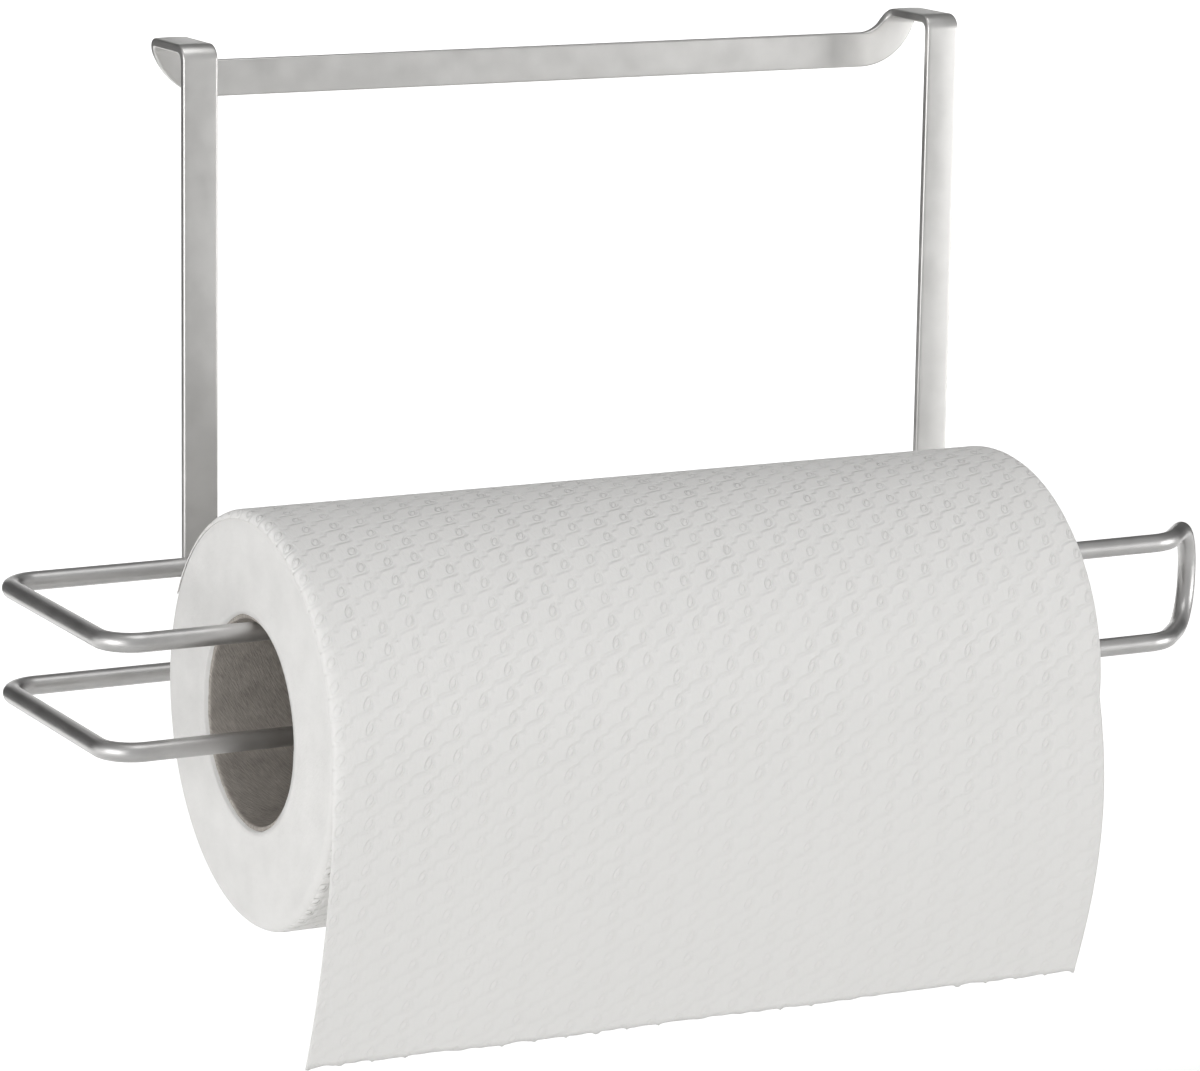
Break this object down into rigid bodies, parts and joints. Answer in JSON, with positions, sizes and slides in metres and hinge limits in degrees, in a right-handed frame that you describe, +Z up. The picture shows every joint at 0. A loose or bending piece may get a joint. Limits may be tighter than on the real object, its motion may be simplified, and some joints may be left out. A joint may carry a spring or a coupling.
{
  "type": "over-door paper towel holder",
  "caption": "Satin silver steel holder that hooks over a cupboard door: a flat-strip frame with a bent-rod loop carrier that holds a loose roll of paper towel.",
  "frame": {"origin": "midway between the uprights, on the line where the door's front face meets its top edge", "axes": "+X along the roll towards the toe it is loaded over, +Y from the roll back to the door, +Z up"},
  "size_m": [0.345, 0.1621, 0.2475],
  "materials": {
    "lacquered_steel": "satin silver lacquer on steel",
    "weld_metal": "satin silver lacquer over weld metal",
    "core_board": "raw grey-brown core board",
    "tissue": "embossed white tissue"
  },
  "bodies": {
    "holder": {"hook_frame": "lacquered_steel", "roll_carrier": "lacquered_steel", "weld_upper_left": "weld_metal", "weld_upper_right": "weld_metal", "weld_lower_left": "weld_metal", "weld_lower_right": "weld_metal"},
    "loose_sheet": {"leading_sheet": "tissue"},
    "roll": {"core_tube": "core_board", "paper_winding": "tissue"}
  },
  "joints": [
    {"name": "roll_slide", "type": "slide", "parent": "holder", "child": "loose_sheet", "axis": [0.9987, 0.025, 0.0449], "range_m": [0, 0.312]},
    {"name": "roll_spin", "type": "hinge", "parent": "loose_sheet", "child": "roll", "pos_m": [-0.024, -0.084, -0.1625], "axis": [1, 0, 0], "continuous": true}
  ]
}
